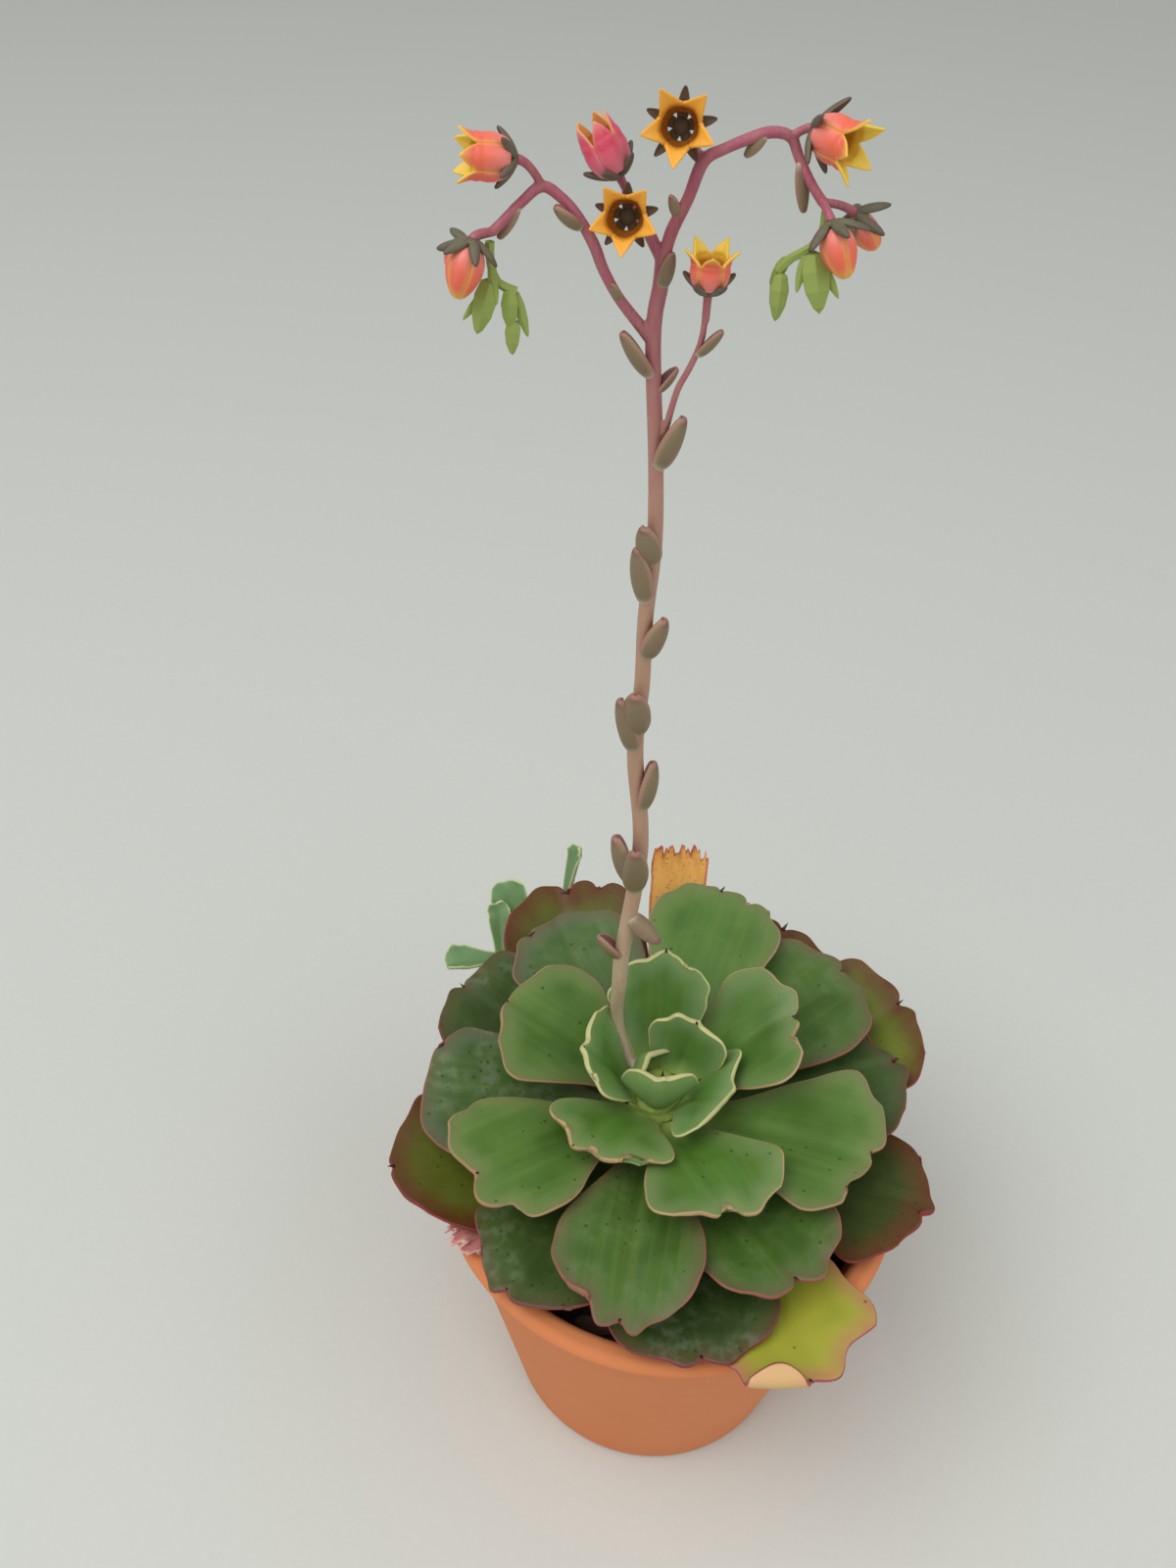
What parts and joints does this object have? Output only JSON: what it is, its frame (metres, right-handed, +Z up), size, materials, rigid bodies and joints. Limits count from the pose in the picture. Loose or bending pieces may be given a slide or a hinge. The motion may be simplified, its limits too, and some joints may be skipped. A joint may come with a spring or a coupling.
{
  "type": "potted echeveria",
  "caption": "Rosette succulent with broad waxy leaves and a tall forking stalk of bell flowers, growing in a round terracotta pot with drain holes.",
  "frame": {"origin": "centre of the pot's flat base, on the surface it stands on", "axes": "+Z up along the pot's axis and the flower stalk; -Y towards the plant's front, where the yellow leaf hangs over the rim; +X to the right seen from the front"},
  "size_m": [0.1411, 0.1521, 0.3512],
  "materials": {
    "terracotta": "matt fired clay",
    "potting_soil": "crumbly, matt",
    "old_stem": "dull",
    "leaf_green": "waxy bloom",
    "leaf_dark_green": "waxy, speckled",
    "leaf_reddened": "waxy, reddened",
    "leaf_yellow": "waxy, ageing",
    "withered_leaf": "dry, papery",
    "flower_stalk": "waxy",
    "calyx": "waxy",
    "petals_coral": "satin",
    "petals_pink": "satin",
    "petals_gold": "satin",
    "green_bud": "waxy"
  },
  "bodies": {
    "root": {"calyx_left": "calyx", "calyx_left_bud": "calyx", "calyx_left_bud_behind": "calyx", "calyx_middle": "calyx", "calyx_pink": "calyx", "calyx_right": "calyx", "calyx_right_bud": "calyx", "calyx_right_bud_behind": "calyx", "calyx_side": "calyx", "calyx_top": "calyx", "corolla_left": "petals_coral", "corolla_left_bud": "petals_coral", "corolla_left_bud_behind": "petals_coral", "corolla_middle": "petals_gold", "corolla_pink": "petals_pink", "corolla_right": "petals_coral", "corolla_right_bud": "petals_coral", "corolla_right_bud_behind": "petals_coral", "corolla_side": "petals_coral", "corolla_top": "petals_gold", "flower_stalk": "flower_stalk", "green_buds_left": "green_bud", "green_buds_right": "green_bud", "leaf_heart_back": "leaf_green", "leaf_heart_core": "leaf_green", "leaf_heart_front": "leaf_green", "leaf_heart_left": "leaf_green", "leaf_heart_right": "leaf_green", "leaf_heart_upright": "leaf_green", "leaf_inner_front_right": "leaf_green", "leaf_inner_left": "leaf_green", "leaf_inner_right": "leaf_green", "leaf_low_front_left": "leaf_dark_green", "leaf_low_left": "leaf_dark_green", "leaf_low_right": "leaf_dark_green", "leaf_mid_back": "leaf_dark_green", "leaf_mid_back_left": "leaf_dark_green", "leaf_mid_back_right": "leaf_dark_green", "leaf_mid_front": "leaf_dark_green", "leaf_mid_front_right": "leaf_dark_green", "leaf_mid_left": "leaf_dark_green", "leaf_outer_back": "leaf_reddened", "leaf_outer_back_left": "leaf_reddened", "leaf_outer_back_right": "leaf_reddened", "leaf_outer_front": "leaf_reddened", "leaf_outer_left": "leaf_reddened", "leaf_outer_right": "leaf_reddened", "leaf_outer_yellow": "leaf_yellow", "leaf_upper_back_left": "leaf_green", "leaf_upper_left": "leaf_green", "leaf_upper_right": "leaf_green", "pot": "terracotta", "pup_back": "leaf_green", "pup_left": "leaf_green", "soil": "potting_soil", "stem": "old_stem", "withered_back": "withered_leaf", "withered_left": "withered_leaf", "withered_soil": "withered_leaf"}
  },
  "joints": []
}
